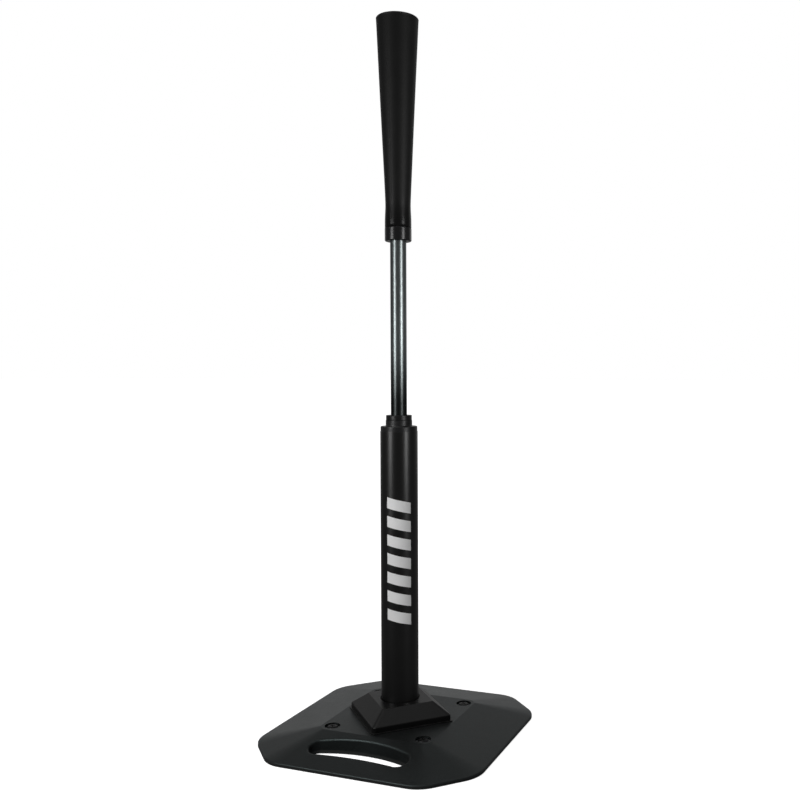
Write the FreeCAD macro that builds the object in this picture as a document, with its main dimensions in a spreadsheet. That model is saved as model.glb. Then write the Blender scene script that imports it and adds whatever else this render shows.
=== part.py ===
import FreeCAD, Part
import Sketcher
import math
import os
import re

# Batting tee: a weighted square base with a carry slot, a fixed lower tube, a stem that slides in the
# tube on a friction piston and turns in it, and a hollow rubber cone that holds the ball and bends.
# Millimetres. +Z is up along the pole, the origin is on the ground under the pole, the slot faces -Y.

SIZES = [
    # base shell
    ("base_half", 139.7, "half the side of the square base"),
    ("base_cut", 47.3, "leg of the 45 degree cut at each corner of the base"),
    ("base_round", 38, "radius of the outline where a side meets a corner cut"),
    ("shell_lift", 0.5, "height of the shell's lower edge, which the mat keeps off the ground"),
    ("rim_top", 4.2, "height of the rim's upper edge"),
    ("rim_round", 1.5, "radius of the rim's upper edge"),
    ("plateau_half", 71, "half the side of the flat plateau"),
    ("plateau_cut", 7, "leg of the plateau's corner cuts"),
    ("plateau_round", 4, "radius of the plateau's corners"),
    ("plateau_top", 18.5, "height of the plateau"),
    # carry slot, bowed towards the pole
    ("slot_back", 79.5, "distance from the pole to the middle of the slot's back wall, at plateau height"),
    ("slot_front", 112.5, "distance from the pole to the middle of the slot's front wall, at plateau height"),
    ("slot_back_radius", 156, "radius of the back wall"),
    ("slot_front_radius", 400, "radius of the front wall"),
    ("slot_end_radius", 13.6, "radius of the slot's ends"),
    ("slot_draft", 14, "slope of the slot's walls, in degrees, which narrows it downwards"),
    ("slot_lip_round", 3.2, "radius of the slot's upper edge"),
    ("slot_rib", 0.5, "distance of the rib that frames the slot underneath beyond the slot's outline"),
    # grip mat
    ("mat_thick", 2.5, "thickness of the mat"),
    ("mat_recess_inset", 6, "distance from the shell's side to the recess for the mat"),
    ("mat_gap", 0.3, "gap round the mat"),
    ("mat_hole_radius", 12, "radius of the hole in the mat below the centre bolt"),
    # ballast plate
    ("plate_half_width", 84, "half the plate's width"),
    ("plate_front", 70, "distance from the pole to the plate's front edge"),
    ("plate_back", 84, "distance from the pole to the plate's back edge"),
    ("plate_thick", 8, "thickness of the plate"),
    ("plate_round", 8, "radius of the plate's corners"),
    ("plate_gap", 0.2, "gap round the plate"),
    # screws that hold the shell to the plate
    ("shell_screw_place", 58.3, "distance of each screw from the pole along X and along Y"),
    ("recess_radius", 9.1, "radius of the screw recesses"),
    ("recess_depth", 3.6, "depth of the screw recesses"),
    ("washer_radius", 8, "outer radius of the screws' washers"),
    ("washer_thick", 0.9, "thickness of the screws' washers"),
    ("shell_screw_head", 6.2, "radius of the screw head"),
    ("shell_screw_crown", 2.5, "height of the screw head"),
    ("shell_screw_shank", 3, "radius of the screw shank"),
    ("shell_screw_length", 11.5, "length of the screw shank"),
    ("cross_length", 6.4, "length of the cross recess in a screw head"),
    ("cross_width", 1.3, "width of the cross recess"),
    ("cross_depth", 1.6, "depth of the cross recess"),
    ("hole_gap", 0.3, "radial gap between a shank and a plain hole"),
    ("thread_gap", 0.05, "radial gap between a shank and its thread"),
    # pedestal
    ("pedestal_half", 47.8, "half the side of the pedestal"),
    ("pedestal_round", 4, "radius of the pedestal's corners"),
    ("foot_step", 1.8, "width of the step round the pedestal's foot"),
    ("foot_thick", 1.2, "height of the step round the pedestal's foot"),
    ("lip_height", 7.2, "height of the pedestal's upright sides"),
    ("lip_round", 1.6, "radius of the edge above the upright sides"),
    ("crown_half", 31, "half the side of the pedestal's flat top"),
    ("crown_round", 2.5, "radius of the flat top's corners"),
    ("pedestal_height", 21.2, "height of the pedestal"),
    ("crown_edge_round", 1, "radius of the flat top's edge"),
    ("socket_gap", 0.2, "radial gap between the tube and what it stands in"),
    ("seal_thick", 1.4, "thickness of the ring that closes the gap round the tube"),
    ("seal_depth", 1.2, "depth of the seal's middle below the pedestal's top"),
    # screws that hold the pedestal from below
    ("pedestal_screw_place", 45, "distance of the pedestal's screws from the pole"),
    ("pedestal_screw_head", 5, "radius of the pedestal screws' heads"),
    ("pedestal_screw_crown", 3.2, "height of the pedestal screws' heads"),
    ("pedestal_screw_shank", 2.5, "radius of the pedestal screws' shanks"),
    ("pedestal_screw_length", 26, "length of the pedestal screws' shanks"),
    # lower tube
    ("tube_radius", 22.225, "outer radius of the lower tube"),
    ("tube_wall", 2, "wall of the lower tube"),
    ("tube_top", 360.7, "height of the lower tube's top"),
    ("plug_height", 20, "height of the plug in the tube's foot"),
    ("fit_gap", 0.1, "radial gap of a plug or spigot in its tube"),
    ("bolt_head", 10, "radius of the centre bolt's countersunk head"),
    ("bolt_shank", 5, "radius of the centre bolt's shank"),
    ("bolt_reach", 15.5, "length of the centre bolt above the plate"),
    ("bolt_sink", 0.3, "depth of the bolt head below the plate's face"),
    ("hex_radius", 3.4, "corner radius of the centre bolt's hexagon socket"),
    ("hex_depth", 3, "depth of the hexagon sockets"),
    # guide bushing and neck cap
    ("flange_radius", 21.8, "radius of the bushing's flange"),
    ("flange_height", 6, "height of the bushing's flange"),
    ("flange_round", 1, "radius of the flange's upper edge"),
    ("spigot_depth", 18.7, "length of the bushing inside the tube"),
    ("neck_radius", 15.7, "radius of the bushing's neck"),
    ("neck_height", 7.1, "height of the bushing's neck"),
    ("neck_foot_round", 1, "radius of the neck's foot"),
    ("nose_radius", 12, "radius of the threaded nose above the neck"),
    ("nose_height", 2.5, "height of the threaded nose"),
    ("cap_radius", 15.3, "radius of the neck cap"),
    ("cap_height", 6, "height of the neck cap"),
    ("cap_roof", 1.4, "thickness of the neck cap's top"),
    ("cap_bevel", 0.5, "bevel of the neck cap's edges"),
    ("wiper_height", 1.9, "height of the wiper ring"),
    ("running_gap", 0.05, "radial gap of a running fit"),
    ("cap_clear", 0.4, "radial gap between the neck cap and the stem"),
    # stem
    ("stem_radius", 9.525, "outer radius of the stem"),
    ("stem_wall", 1.65, "wall of the stem"),
    ("stem_bottom", 260.2, "height of the stem's lower end"),
    ("stem_top", 614, "height of the stem's upper end"),
    ("stem_plug_height", 22, "height of the plug in the stem's foot"),
    # friction piston and the screw that the stem turns on
    ("piston_radius", 19.9, "radius of the piston"),
    ("piston_bottom", 236, "height of the piston's lower face"),
    ("piston_height", 34, "height of the piston"),
    ("piston_socket", 12, "depth of the piston's socket for the stem"),
    ("piston_pocket", 11, "depth of the pocket for the screw head"),
    ("piston_pocket_radius", 7.2, "radius of the pocket for the screw head"),
    ("stem_gap", 0.1, "radial gap between the stem and the piston's socket"),
    ("ring_wire", 1.55, "radius of a piston ring's section"),
    ("ring_first", 7, "height of the lower ring's middle above the piston's lower face"),
    ("ring_pitch", 15, "distance between the piston rings"),
    ("ring_side_gap", 0.05, "gap on each side of a ring in its groove"),
    ("thrust_thick", 2, "thickness of the thrust washer"),
    ("thrust_radius", 9.4, "radius of the thrust washer"),
    ("shoulder_radius", 4, "radius of the screw's shoulder"),
    ("shoulder_head", 6.5, "radius of the shoulder screw's head"),
    ("shoulder_head_height", 5, "height of the shoulder screw's head"),
    ("shoulder_thread", 3, "radius of the shoulder screw's thread"),
    ("shoulder_thread_length", 16, "length of the shoulder screw's thread"),
    ("shoulder_play", 0.3, "gap above the shoulder screw's head"),
    ("shoulder_hex_radius", 2.9, "corner radius of the shoulder screw's hexagon socket"),
    # cone adapter and the pin that holds it on the stem
    ("adapter_bottom", 586, "height of the adapter's lower edge"),
    ("ferrule_radius", 15.85, "radius of the adapter's ferrule"),
    ("ferrule_height", 16.5, "height of the adapter's ferrule"),
    ("ferrule_round", 1.6, "radius of the ferrule's edges"),
    ("adapter_spigot", 11, "radius of the adapter inside the rubber"),
    ("adapter_height", 31, "height of the adapter"),
    ("adapter_gap", 0.03, "radial gap between the adapter and the stem"),
    ("pin_radius", 1.5, "radius of the adapter's cross pin"),
    ("pin_length", 21, "length of the cross pin"),
    ("pin_height", 23, "height of the cross pin above the adapter's lower edge"),
    # rubber cone
    ("rubber_gap", 0.05, "radial gap between the rubber and the adapter"),
    ("sleeve_radius", 15.8, "outer radius of the rubber at its foot"),
    ("sleeve_straight", 4, "height of the sleeve's straight foot"),
    ("sleeve_height", 24, "height of the sleeve before the bend"),
    ("neck_rubber_radius", 15.05, "outer radius of the rubber at its neck"),
    ("neck_rubber_height", 631, "height of the rubber's neck"),
    ("cone_radius", 25.2, "outer radius of the cone's rim"),
    ("cone_wall", 4.8, "wall of the cone at its rim"),
    ("cone_top_height", 847, "height of the cone's rim"),
    ("rim_edge_round", 1.3, "radius of the cone rim's edges"),
    ("bend_height", 650, "height of the point that the cone bends about"),
    ("bend_radius", 30, "radius of the face that parts the cone from its sleeve"),
    ("bend_gap", 0.3, "gap between the cone and its sleeve"),
    ("bend_reach", 45, "distance below the bend point that holds no cone"),
]

doc = FreeCAD.newDocument("BattingTee")
sheet = doc.addObject("Spreadsheet::Sheet", "Sizes")
for row, (alias, value, note) in enumerate(SIZES, start=1):
    sheet.set(f"A{row}", note)
    sheet.set(f"B{row}", str(value))
    sheet.setAlias(f"B{row}", alias)
doc.recompute()
ALIASES = {alias for alias, _, _ in SIZES}

# Heights that several pieces share, as sums of driving sizes.
PLATE_TOP = "(mat_thick + plate_thick)"
TUBE_INSIDE = "(tube_radius - tube_wall)"
PEDESTAL_TOP = "(plateau_top + pedestal_height)"
NECK_TOP = "(tube_top + flange_height + neck_height)"
RECESS_FLOOR = "(plateau_top - recess_depth)"
PLUG_SEAT = "(stem_bottom - piston_bottom)"


def ref(text):
    """An expression in plain size names, as one that reads the sheet."""
    return re.sub(r"[a-z_]+", lambda m: f"Sizes.{m[0]}" if m[0] in ALIASES else m[0], text)


def value(text):
    """The number that an expression in plain size names has now."""
    return float(sheet.evalExpression(ref(text)))


def bind(target, prop, text):
    """Bind a property to an expression in plain size names."""
    target.setExpression(prop, ref(text))


def new_body(label, z="0", turn_deg=0):
    """An empty body at height z, turned about the pole."""
    body = doc.addObject("PartDesign::Body", label)
    body.Label = label
    body.Placement.Rotation = FreeCAD.Rotation(FreeCAD.Vector(0, 0, 1), turn_deg)
    bind(body, "Placement.Base.z", z)
    return body


def origin_part(body, role):
    """One of the body's own origin planes or axes."""
    return next(f for f in body.Origin.OriginFeatures if f.Role == role)


def attach(feature, body, role, x="0", z="0"):
    """Attach a feature to one of the body's own origin planes, moved by x in that plane and z off it."""
    feature.AttachmentSupport = [(origin_part(body, role), "")]
    feature.MapMode = "FlatFace"
    bind(feature, "AttachmentOffset.Base.x", x)
    bind(feature, "AttachmentOffset.Base.z", z)


def new_sketch(body, name, role, x="0", z="0"):
    """A sketch on one of the body's own origin planes."""
    sketch = body.newObject("Sketcher::SketchObject", name)
    attach(sketch, body, role, x, z)
    return sketch


def dimension(sketch, text, kind, *places):
    """A dimensional constraint bound to an expression."""
    index = sketch.addConstraint(Sketcher.Constraint(kind, *places, value(text)))
    bind(sketch, f"Constraints[{index}]", text)


def pin_point(sketch, geometry, end, across, up):
    """Fix one point of a sketch at (across, up) from its origin."""
    for text, kind, axis in ((across, "DistanceX", -2), (up, "DistanceY", -1)):
        if text == "0":
            sketch.addConstraint(Sketcher.Constraint("PointOnObject", geometry, end, axis))
        else:
            dimension(sketch, text, kind, -1, 1, geometry, end)


def draw_lines(sketch, points):
    """A closed chain of straight lines through (across, up) points."""
    first = sketch.GeometryCount
    count = len(points)
    places = [FreeCAD.Vector(value(across), value(up), 0) for across, up in points]
    for i in range(count):
        sketch.addGeometry(Part.LineSegment(places[i], places[(i + 1) % count]))
    for i in range(count):
        sketch.addConstraint(Sketcher.Constraint("Coincident", first + i, 2, first + (i + 1) % count, 1))
    for i, (across, up) in enumerate(points):
        pin_point(sketch, first + i, 1, across, up)


def draw_circle(sketch, radius, across="0", up="0"):
    """A circle."""
    centre = FreeCAD.Vector(value(across), value(up), 0)
    circle = sketch.addGeometry(Part.Circle(centre, FreeCAD.Vector(0, 0, 1), value(radius)))
    dimension(sketch, radius, "Radius", circle)
    pin_point(sketch, circle, 3, across, up)


def draw_rounded(sketch, corners, radius):
    """A closed outline of straight sides whose corners, given counter-clockwise, have one radius."""
    count = len(corners)
    sharp = [FreeCAD.Vector(value(across), value(up), 0) for across, up in corners]
    round_by = value(radius)
    arcs = []
    for i, corner in enumerate(sharp):
        back = (sharp[i - 1] - corner).normalize()
        on = (sharp[(i + 1) % count] - corner).normalize()
        half = back.getAngle(on) / 2
        start = corner + back * (round_by / math.tan(half))
        end = corner + on * (round_by / math.tan(half))
        centre = corner + (back + on).normalize() * (round_by / math.sin(half))
        middle = centre + (corner - centre).normalize() * round_by
        arcs.append((start, middle, end))
    first = sketch.GeometryCount
    for i, (start, middle, end) in enumerate(arcs):
        sketch.addGeometry(Part.Arc(start, middle, end))
        sketch.addGeometry(Part.LineSegment(end, arcs[(i + 1) % count][0]))
    sides = [(first + (2 * i - 1) % (2 * count), first + 2 * i, first + 2 * i + 1) for i in range(count)]
    for line_before, arc, line_after in sides:
        sketch.addConstraint(Sketcher.Constraint("Tangent", line_before, 2, arc, 1))
        sketch.addConstraint(Sketcher.Constraint("Tangent", arc, 2, line_after, 1))
    for corner, (across, up), (line_before, arc, line_after) in zip(sharp, corners, sides):
        point = sketch.addGeometry(Part.Point(corner), True)
        pin_point(sketch, point, 1, across, up)
        sketch.addConstraint(Sketcher.Constraint("PointOnObject", point, 1, line_after))
        sketch.addConstraint(Sketcher.Constraint("PointOnObject", point, 1, line_before))
        dimension(sketch, radius, "Radius", arc)


def octagon(half, cut):
    """The corners of a square with cut corners."""
    short = f"({half} - {cut})"
    first = [(half, short), (short, half)]
    second = [(f"-{short}", half), (f"-{half}", short)]
    third = [(f"-{half}", f"-{short}"), (f"-{short}", f"-{half}")]
    return first + second + third + [(short, f"-{half}"), (half, f"-{short}")]


def rectangle(left, right, front, back):
    """The corners of a rectangle."""
    return [(right, back), (left, back), (left, front), (right, front)]


def square(half):
    """The corners of a square about the pole."""
    return rectangle(f"-{half}", half, f"-{half}", half)


def draw_slot(sketch, grow):
    """The bowed carry slot, grown outwards by a distance: two walls and two round ends, all tangent."""
    back_y = -value("slot_back + slot_back_radius")
    front_y = -value("slot_front + slot_front_radius")
    to_back = value("slot_back_radius - slot_end_radius")
    to_front = value("slot_front_radius + slot_end_radius")
    end_y = (to_back**2 - to_front**2 - back_y**2 + front_y**2) / (2 * (front_y - back_y))
    end_x = math.sqrt(to_back**2 - (end_y - back_y) ** 2)
    back_turn = math.atan2(end_y - back_y, end_x)
    front_turn = math.atan2(end_y - front_y, end_x)
    back_radius = value(f"slot_back_radius + {grow}")
    front_radius = value(f"slot_front_radius - {grow}")
    end_radius = value(f"slot_end_radius + {grow}")
    arcs = [
        (0, back_y, back_radius, back_turn, math.pi - back_turn),
        (-end_x, end_y, end_radius, math.pi - back_turn, 2 * math.pi - front_turn),
        (0, front_y, front_radius, front_turn, math.pi - front_turn),
        (end_x, end_y, end_radius, front_turn - math.pi, back_turn),
    ]
    up = FreeCAD.Vector(0, 0, 1)
    first = sketch.GeometryCount
    for x, y, radius, start, end in arcs:
        sketch.addGeometry(Part.ArcOfCircle(Part.Circle(FreeCAD.Vector(x, y, 0), up, radius), start, end))
    back, left, front, right = range(first, first + 4)
    for one, one_end, two, two_end in (
        (back, 2, left, 1),
        (left, 2, front, 2),
        (front, 1, right, 1),
        (right, 2, back, 1),
    ):
        sketch.addConstraint(Sketcher.Constraint("Tangent", one, one_end, two, two_end))
    pin_point(sketch, back, 3, "0", "-(slot_back + slot_back_radius)")
    pin_point(sketch, front, 3, "0", "-(slot_front + slot_front_radius)")
    dimension(sketch, f"slot_back_radius + {grow}", "Radius", back)
    dimension(sketch, f"slot_front_radius - {grow}", "Radius", front)
    dimension(sketch, f"slot_end_radius + {grow}", "Radius", left)
    dimension(sketch, f"slot_end_radius + {grow}", "Radius", right)


def pad(body, sketch, name, length):
    """Raise a sketch into a solid."""
    solid = body.newObject("PartDesign::Pad", name)
    solid.Profile = sketch
    bind(solid, "Length", length)
    return solid


def pocket(body, sketch, name, length, upward=False):
    """Cut a sketch into the solid, downwards or upwards, and make sure that it cut."""
    doc.recompute()
    before = body.Shape.Volume
    cut = body.newObject("PartDesign::Pocket", name)
    cut.Profile = sketch
    cut.Reversed = upward
    bind(cut, "Length", length)
    doc.recompute()
    if not body.Shape.Volume < before:
        raise RuntimeError(f"{name} cuts nothing")
    return cut


def loft(body, lower, upper, name):
    """A solid with straight sides between two outlines."""
    solid = body.newObject("PartDesign::AdditiveLoft", name)
    solid.Profile = lower
    solid.Sections = [upper]
    solid.Ruled = True
    return solid


def revolve(body, name, points, x="0"):
    """Turn a closed profile of (radius, height) points about an upright axis at distance x."""
    sketch = new_sketch(body, f"{name}_profile", "XZ_Plane", x=x)
    draw_lines(sketch, points)
    solid = body.newObject("PartDesign::Revolution", name)
    solid.Profile = sketch
    solid.ReferenceAxis = (sketch, ["V_Axis"])
    solid.Angle = 360
    return solid


def round_edges(body, name, radius, test):
    """Round the edges of the body that pass a test."""
    doc.recompute()
    base = body.Tip
    edges = [f"Edge{i}" for i, edge in enumerate(base.Shape.Edges, start=1) if test(edge)]
    if not edges:
        raise RuntimeError(f"{name} finds no edge")
    fillet = body.newObject("PartDesign::Fillet", name)
    fillet.Base = (base, edges)
    bind(fillet, "Radius", radius)
    doc.recompute()


def level(height, radius=None):
    """A test for edges that lie flat at a height and, where a radius is given, are circles of it."""

    def test(edge):
        box = edge.BoundBox
        flat = box.ZLength < 1e-4 and abs(box.ZMin - value(height)) < 1e-4
        if radius is None:
            return flat
        return flat and isinstance(edge.Curve, Part.Circle) and abs(edge.Curve.Radius - value(radius)) < 1e-4

    return test


def repeat_round(body, features, name, count):
    """Repeat features about the pole."""
    doc.recompute()
    pattern = body.newObject("PartDesign::PolarPattern", name)
    pattern.Originals = features
    pattern.Axis = (origin_part(body, "Z_Axis"), [""])
    pattern.Angle = 360
    pattern.Occurrences = count
    body.Tip = pattern
    doc.recompute()
    return pattern


def four_round_pole(place):
    """Four places on the X and Y axes at one distance from the pole."""
    return [(place, "0"), ("0", place), (f"-{place}", "0"), ("0", f"-{place}")]


def four_corners(place):
    """Four places at the corners of a square about the pole."""
    return square(place)


def drill(body, name, places, radius, height, depth, upward=False):
    """Cut round holes of one radius, from a height, downwards or upwards."""
    sketch = new_sketch(body, f"{name}_outline", "XY_Plane", z=height)
    for across, up in places:
        draw_circle(sketch, radius, across, up)
    return pocket(body, sketch, name, depth, upward)


def make_base_shell():
    """Moulded shell: an upright rim, eight flat slopes up to a plateau, and the carry slot."""
    body = new_body("base_shell")
    rim = new_sketch(body, "rim_outline", "XY_Plane", z="shell_lift")
    draw_rounded(rim, octagon("base_half", "base_cut"), "base_round")
    pad(body, rim, "rim", "rim_top - shell_lift")
    slope_foot = new_sketch(body, "slope_foot", "XY_Plane", z="rim_top")
    draw_rounded(slope_foot, octagon("base_half", "base_cut"), "base_round")
    slope_head = new_sketch(body, "slope_head", "XY_Plane", z="plateau_top")
    draw_rounded(slope_head, octagon("plateau_half", "plateau_cut"), "plateau_round")
    loft(body, slope_foot, slope_head, "slopes")
    round_edges(body, "rim_edge", "rim_round", level("rim_top"))

    slot = new_sketch(body, "slot_outline", "XY_Plane", z="plateau_top")
    draw_slot(slot, "0")
    opening = pocket(body, slot, "slot", "plateau_top")
    bind(opening, "TaperAngle", "-slot_draft")
    round_edges(body, "slot_lip", "slot_lip_round", on_slot_lip)

    recess = new_sketch(body, "mat_recess_outline", "XY_Plane", z="shell_lift")
    draw_rounded(recess, octagon("(base_half - mat_recess_inset)", "base_cut"), "base_round")
    draw_slot(recess, "slot_rib")
    pocket(body, recess, "mat_recess", "mat_thick - shell_lift", upward=True)
    seat = new_sketch(body, "plate_seat_outline", "XY_Plane", z="mat_thick")
    draw_rounded(seat, plate_corners("plate_gap"), "plate_round")
    pocket(body, seat, "plate_seat", "plate_thick", upward=True)

    drill(body, "tube_hole", [("0", "0")], "tube_radius + socket_gap", "plateau_top", "plateau_top")
    corners = four_corners("shell_screw_place")
    drill(body, "screw_recesses", corners, "recess_radius", "plateau_top", "recess_depth")
    drill(body, "screw_holes", corners, "shell_screw_shank + hole_gap", "plateau_top", "plateau_top")
    crosswise = four_round_pole("pedestal_screw_place")
    drill(body, "pedestal_holes", crosswise, "pedestal_screw_shank + hole_gap", "plateau_top", "plateau_top")
    return body


def on_slot_lip(edge):
    """The slot's upper edges, the only ones inside the slopes that stand clear of the rim."""
    box = edge.BoundBox
    reach = value("slot_end_radius")
    inside = box.YMin > -value("slot_front") - reach and box.YMax < -value("slot_back") + 1
    return inside and box.ZMin > value("rim_top + rim_round") and box.ZMax < value("plateau_top")


def plate_corners(gap):
    """The corners of the ballast plate, grown outwards by a gap."""
    wide = f"(plate_half_width + {gap})"
    return rectangle(f"-{wide}", wide, f"-(plate_front + {gap})", f"(plate_back + {gap})")


def make_ballast_plate():
    """Steel plate that gives the base its weight, tapped for the shell's screws."""
    body = new_body("ballast_plate", "mat_thick")
    outline = new_sketch(body, "plate_outline", "XY_Plane")
    draw_rounded(outline, plate_corners("0"), "plate_round")
    pad(body, outline, "plate", "plate_thick")
    corners = four_corners("shell_screw_place")
    drill(body, "tapped_holes", corners, "shell_screw_shank + thread_gap", "plate_thick", "plate_thick")
    crosswise = four_round_pole("pedestal_screw_place")
    drill(body, "pedestal_holes", crosswise, "pedestal_screw_shank + hole_gap", "plate_thick", "plate_thick")
    sink = "pedestal_screw_crown + hole_gap"
    drill(body, "head_pockets", crosswise, "pedestal_screw_head + hole_gap", "0", sink, upward=True)
    countersink = new_sketch(body, "countersink_profile", "XZ_Plane")
    wide = "bolt_head + bolt_sink + thread_gap"
    narrow = "bolt_shank + thread_gap"
    draw_lines(countersink, [("0", "0"), (wide, "0"), (narrow, f"({wide}) - ({narrow})"),
                             (narrow, "plate_thick + 1"), ("0", "plate_thick + 1")])
    hole = body.newObject("PartDesign::Groove", "bolt_hole")
    hole.Profile = countersink
    hole.ReferenceAxis = (countersink, ["V_Axis"])
    hole.Angle = 360
    return body


def make_grip_mat():
    """Rubber mat under the whole base, open at the slot and below the centre bolt."""
    body = new_body("grip_mat")
    outline = new_sketch(body, "mat_outline", "XY_Plane")
    draw_rounded(outline, octagon("(base_half - mat_recess_inset - mat_gap)", "base_cut"), "base_round")
    draw_slot(outline, "(slot_rib + mat_gap)")
    pad(body, outline, "mat", "mat_thick")
    drill(body, "bolt_opening", [("0", "0")], "mat_hole_radius", "mat_thick", "mat_thick")
    return body


def make_pedestal():
    """Square block set cornerwise on the plateau: stepped foot, upright sides, slopes and a flat top."""
    body = new_body("pedestal", "plateau_top", turn_deg=45)
    foot = new_sketch(body, "foot_outline", "XY_Plane")
    draw_rounded(foot, square("(pedestal_half + foot_step)"), "pedestal_round")
    pad(body, foot, "foot", "foot_thick")
    sides = new_sketch(body, "sides_outline", "XY_Plane")
    draw_rounded(sides, square("pedestal_half"), "pedestal_round")
    pad(body, sides, "sides", "lip_height")
    slope_foot = new_sketch(body, "slope_foot", "XY_Plane", z="lip_height")
    draw_rounded(slope_foot, square("pedestal_half"), "pedestal_round")
    slope_head = new_sketch(body, "slope_head", "XY_Plane", z="pedestal_height")
    draw_rounded(slope_head, square("crown_half"), "crown_round")
    loft(body, slope_foot, slope_head, "slopes")
    round_edges(body, "lip_edge", "lip_round", level("lip_height"))
    round_edges(body, "crown_edge", "crown_edge_round", level("pedestal_height"))
    drill(body, "tube_hole", [("0", "0")], "tube_radius + socket_gap", "pedestal_height", "pedestal_height")
    seat = "tube_radius + seal_thick + thread_gap"
    drill(body, "seal_seat", [("0", "0")], seat, "pedestal_height", "seal_depth + seal_thick / 2")
    diagonal = "(pedestal_screw_place * sqrt(0.5))"
    depth = f"{PLATE_TOP} - plate_thick + pedestal_screw_crown + pedestal_screw_length - plateau_top + 1"
    drill(body, "pilot_holes", four_corners(diagonal), "pedestal_screw_shank + thread_gap", "0", depth, True)
    return body


def make_screw(label, z, place, turn_deg, head, crown, shank, length, head_up):
    """Four pan-head screws about the pole, heads up or heads down, with a cross recess in each head."""
    body = new_body(label, z, turn_deg)
    side = "1" if head_up else "-1"
    dome = f"({crown} * 0.45)"
    screw = revolve(body, "screw", [
        ("0", f"{side} * {crown}"),
        (f"{head} * 0.6", f"{side} * {crown}"),
        (f"{head} * 0.9", f"{side} * ({crown} - {dome} * 0.45)"),
        (head, f"{side} * ({crown} - {dome})"),
        (head, "0"),
        (shank, "0"),
        (shank, f"-({side} * ({length} - {shank} / 2))"),
        (f"{shank} / 2", f"-({side} * {length})"),
        ("0", f"-({side} * {length})"),
    ], x=place)
    cross = new_sketch(body, "cross_outline", "XY_Plane", x=place, z=f"{side} * {crown}")
    reach = "cross_length / 2"
    near = "cross_width / 2"
    far = f"-({reach})"
    off = f"-({near})"
    draw_lines(cross, [
        (reach, off), (reach, near), (near, near), (near, reach), (off, reach), (off, near),
        (far, near), (far, off), (off, off), (off, far), (near, far), (near, off),
    ])
    recess = pocket(body, cross, "cross", "cross_depth", upward=not head_up)
    repeat_round(body, [screw, recess], "four_screws", 4)
    return body


def make_shell_screws():
    """Screws in the plateau's corner recesses, down into the ballast plate."""
    seat = f"{RECESS_FLOOR} + washer_thick"
    return make_screw("shell_screws", seat, "(shell_screw_place * sqrt(2))", 45, "shell_screw_head",
                      "shell_screw_crown", "shell_screw_shank", "shell_screw_length", head_up=True)


def make_pedestal_screws():
    """Screws up through the plate and the shell into the pedestal."""
    seat = "mat_thick + pedestal_screw_crown + hole_gap"
    return make_screw("pedestal_screws", seat, "pedestal_screw_place", 0, "pedestal_screw_head",
                      "pedestal_screw_crown", "pedestal_screw_shank", "pedestal_screw_length", head_up=False)


def make_screw_washers():
    """Plain washers under the shell's screws."""
    body = new_body("screw_washers", RECESS_FLOOR, turn_deg=45)
    hole = "shell_screw_shank + hole_gap"
    washer = revolve(body, "washer", ring_profile(hole, "washer_radius", "0", "washer_thick"),
                     x="(shell_screw_place * sqrt(2))")
    repeat_round(body, [washer], "four_washers", 4)
    return body


def ring_profile(inner, outer, low, high):
    """The profile of a plain ring."""
    return [(inner, low), (outer, low), (outer, high), (inner, high)]


def make_ring(label, z, inner, outer, height):
    """A plain ring, tube or washer about the pole."""
    body = new_body(label, z)
    revolve(body, "ring", ring_profile(inner, outer, "0", height))
    return body


def make_tube():
    """Lower tube, standing on the ballast plate."""
    return make_ring("outer_tube", PLATE_TOP, TUBE_INSIDE, "tube_radius", f"tube_top - {PLATE_TOP}")


def make_tube_end_plug():
    """Plug in the tube's foot, tapped for the centre bolt."""
    inner = "bolt_shank + thread_gap"
    return make_ring("tube_end_plug", PLATE_TOP, inner, f"{TUBE_INSIDE} - fit_gap", "plug_height")


def make_center_bolt():
    """Countersunk bolt up through the plate into the tube's plug, with a hexagon socket in its head."""
    body = new_body("center_bolt", "mat_thick + bolt_sink")
    taper = "bolt_head - bolt_shank"
    top = "plate_thick - bolt_sink + bolt_reach"
    revolve(body, "bolt", [("0", "0"), ("bolt_head", "0"), ("bolt_shank", taper),
                           ("bolt_shank", f"{top} - 1"), ("bolt_shank - 1", top), ("0", top)])
    cut_hexagon(body, "hex_radius")
    return body


def cut_hexagon(body, radius):
    """A hexagon socket cut upwards into the body's lower face."""
    sketch = new_sketch(body, "hexagon_outline", "XY_Plane")
    points = [(f"{radius} * cos({60 * i})", f"{radius} * sin({60 * i})") for i in range(6)]
    draw_lines(sketch, [(across, "0" if i % 3 == 0 else up) for i, (across, up) in enumerate(points)])
    pocket(body, sketch, "hexagon", "hex_depth", upward=True)


def make_tube_seal():
    """Rubber ring in the pedestal's top, round the tube."""
    seal = doc.addObject("Part::Torus", "tube_seal_ring")
    seal.Label = "tube_seal_ring"
    bind(seal, "Radius1", "tube_radius + seal_thick / 2 + thread_gap / 2")
    bind(seal, "Radius2", "seal_thick / 2")
    bind(seal, "Placement.Base.z", f"{PEDESTAL_TOP} - seal_depth")
    return seal


def make_guide_bushing():
    """Bushing in the tube's top: spigot, flange, neck and threaded nose, bored to guide the stem."""
    body = new_body("guide_bushing", "tube_top")
    bore = "stem_radius + running_gap"
    spigot = f"{TUBE_INSIDE} - fit_gap"
    neck_top = "flange_height + neck_height"
    revolve(body, "bushing", [
        (bore, "-spigot_depth"),
        (f"{spigot} - 1", "-spigot_depth"),
        (spigot, "1 - spigot_depth"),
        (spigot, "0"),
        ("flange_radius", "0"),
        ("flange_radius", "flange_height"),
        ("neck_radius", "flange_height"),
        ("neck_radius", neck_top),
        ("nose_radius", neck_top),
        ("nose_radius", f"{neck_top} + nose_height"),
        (bore, f"{neck_top} + nose_height"),
    ])
    round_edges(body, "flange_edge", "flange_round", level("flange_height", "flange_radius"))
    round_edges(body, "neck_foot", "neck_foot_round", level("flange_height", "neck_radius"))
    return body


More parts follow.
